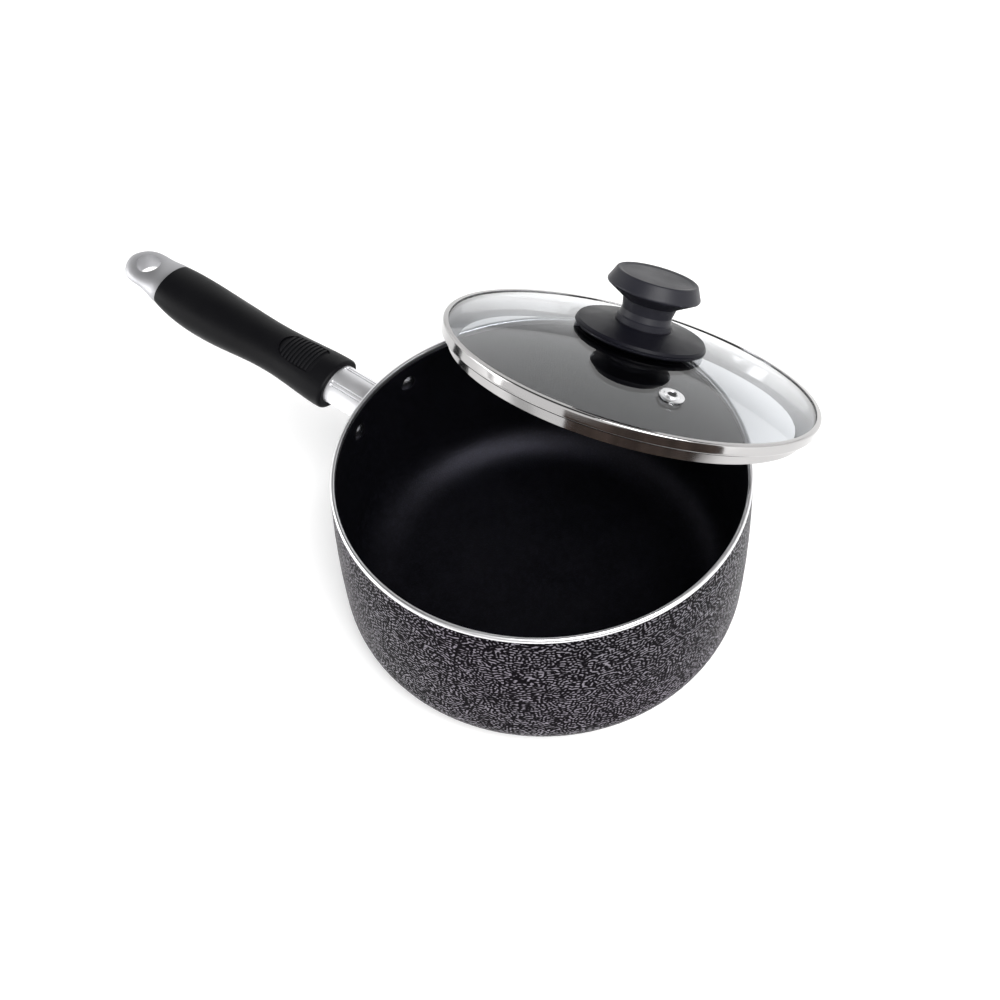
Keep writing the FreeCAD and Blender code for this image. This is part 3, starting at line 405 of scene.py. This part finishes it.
band.data.materials.append(polished)
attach(band, "lid")
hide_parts("rim_band")
coat(["knob_washer"], polished)
coat(["vent_eyelet"], bare_metal("satin_eyelet", (0.70, 0.70, 0.71), 0.30, 0.06, 1500.0, 0.00002))
coat(["vent_ring"], bare_metal("dull_steel", (0.22, 0.22, 0.23), 0.50, 0.08, 1500.0, 0.00003))

# ---------------------------------------------------------------- knob and heat disc
# Black phenolic mouldings. A brass insert in the knob takes the screw that clamps the glass.
coat(["knob"], moulded("knob_bakelite", (0.013, 0.013, 0.018), 0.42, 2600.0, 0.00004, 0.22))
coat(["heat_disc"], moulded("disc_bakelite", (0.005, 0.005, 0.008), 0.40, 2600.0, 0.00004, 0.11))
coat(["knob_insert"], bare_metal("turned_brass", (0.75, 0.55, 0.25), 0.25, 0.08, 1500.0, 0.00002))

# ---------------------------------------------------------------- floor, light and camera
# A plain pale floor and a white room that darkens overhead. A large soft light stands overhead and one
# to the left, and a low dark card beside the camera puts a dark reflection in the polished band.
AIM = Vector((-0.0073, -0.0200, 0.0783))
VIEW_AZIMUTH = math.radians(38.0)
VIEW_ELEVATION = math.radians(50.6)
VIEW_DISTANCE = 0.4718
VIEW_ROLL = math.radians(-4.3)


def camera_at(aim, azimuth, elevation, distance, roll):
    """A camera that looks at a point: back from it by the distance, along the direction given by the
    azimuth round Z and the elevation, and turned about its own line of sight by the roll."""
    back = Vector((math.sin(azimuth) * math.cos(elevation), -math.cos(azimuth) * math.cos(elevation),
                   math.sin(elevation)))
    lens = bpy.data.cameras.new("camera")
    lens.lens = 39.6
    lens.sensor_width = 36.0
    made = bpy.data.objects.new("camera", lens)
    bpy.context.scene.collection.objects.link(made)
    made.location = aim + back * distance
    made.rotation_mode = "QUATERNION"
    made.rotation_quaternion = (-back).to_track_quat("-Z", "Y") @ Quaternion((0, 0, 1), roll)
    return made


def soft_light(name, place, aim, width, power):
    """A square soft light at a place, facing a point."""
    lamp = bpy.data.lights.new(name, "AREA")
    lamp.size = width
    lamp.energy = power
    made = bpy.data.objects.new(name, lamp)
    bpy.context.scene.collection.objects.link(made)
    made.location = place
    made.rotation_mode = "QUATERNION"
    made.rotation_quaternion = (aim - Vector(place)).to_track_quat("-Z", "Y")
    return made


floor_mesh = bpy.data.meshes.new("floor")
FLOOR_HALF = 6.0
floor_mesh.from_pydata([(-FLOOR_HALF, -FLOOR_HALF, 0), (FLOOR_HALF, -FLOOR_HALF, 0),
                        (FLOOR_HALF, FLOOR_HALF, 0), (-FLOOR_HALF, FLOOR_HALF, 0)], [], [(0, 1, 2, 3)])
floor = bpy.data.objects.new("floor", floor_mesh)
bpy.context.scene.collection.objects.link(floor)
floor_mesh.materials.append(finish_named("pale_floor", Base_Color=(0.93, 0.93, 0.93, 1), Roughness=0.9,
                                         Emission_Color=(1, 1, 1, 1), Emission_Strength=0.2)[0])
DARK_NEAR = 0.40
DARK_HEIGHT = 0.19
DARK_FROM, DARK_TO = -5.0, 84.0
card_angle = np.radians(np.linspace(DARK_FROM, DARK_TO, 40))
card_foot = np.stack([DARK_NEAR * np.sin(card_angle), -DARK_NEAR * np.cos(card_angle), 0 * card_angle], 1)
card_points = np.concatenate([card_foot, card_foot + (0, 0, DARK_HEIGHT)])
card_start = np.arange(len(card_angle) - 1)
card_above = card_start + len(card_angle)
card_faces = np.stack([card_start, card_start + 1, card_above + 1, card_above], 1)
card_mesh = bpy.data.meshes.new("dark_card")
card_mesh.from_pydata(card_points, [], card_faces.tolist())
card = bpy.data.objects.new("dark_card", card_mesh)
bpy.context.scene.collection.objects.link(card)
card_finish, card_tree, card_shader = finish_named("dark_card", Roughness=0.9, Specular_IOR_Level=0.0)
card_place = node(card_tree, "ShaderNodeTexCoord")
card_stretch = node(card_tree, "ShaderNodeMapping", {"Scale": (1.0, 1.0, 0.05)})
card_cloud = node(card_tree, "ShaderNodeTexNoise", {"Scale": 14.0, "Detail": 3.0})
card_shade = node(card_tree, "ShaderNodeMix", data_type="RGBA")
card_shade.inputs["A"].default_value = (0.004, 0.004, 0.007, 1)
card_shade.inputs["B"].default_value = (0.16, 0.12, 0.10, 1)
card_tree.links.new(card_place.outputs["Object"], card_stretch.inputs["Vector"])
card_tree.links.new(card_stretch.outputs["Vector"], card_cloud.inputs["Vector"])
card_tree.links.new(card_cloud.outputs["Fac"], card_shade.inputs["Factor"])
card_tree.links.new(card_shade.outputs["Result"], card_shader.inputs["Base Color"])
card_mesh.materials.append(card_finish)
card.visible_camera = False
room = bpy.data.worlds.new("white_room")
room.use_nodes = True
room_tree = room.node_tree
direction = node(room_tree, "ShaderNodeTexCoord")
parts = node(room_tree, "ShaderNodeSeparateXYZ")
fall = node(room_tree, "ShaderNodeMapRange",
            {"From Min": 0.42, "From Max": 0.74, "To Min": 1.25, "To Max": 0.08})
fall.interpolation_type = "SMOOTHSTEP"
sky = room_tree.nodes["Background"]
sky.inputs["Color"].default_value = (1, 1, 1, 1)
room_tree.links.new(direction.outputs["Generated"], parts.inputs["Vector"])
room_tree.links.new(parts.outputs["Z"], fall.inputs["Value"])
room_tree.links.new(fall.outputs["Result"], sky.inputs["Strength"])
bpy.context.scene.world = room
bpy.context.scene.view_settings.view_transform = "Standard"
soft_light("key", (0.72, -0.34, 1.15), AIM, 0.9, 27.0)
soft_light("left", (-1.3, -0.7, 0.45), AIM, 0.8, 8.0)
bpy.context.scene.camera = camera_at(AIM, VIEW_AZIMUTH, VIEW_ELEVATION, VIEW_DISTANCE, VIEW_ROLL)
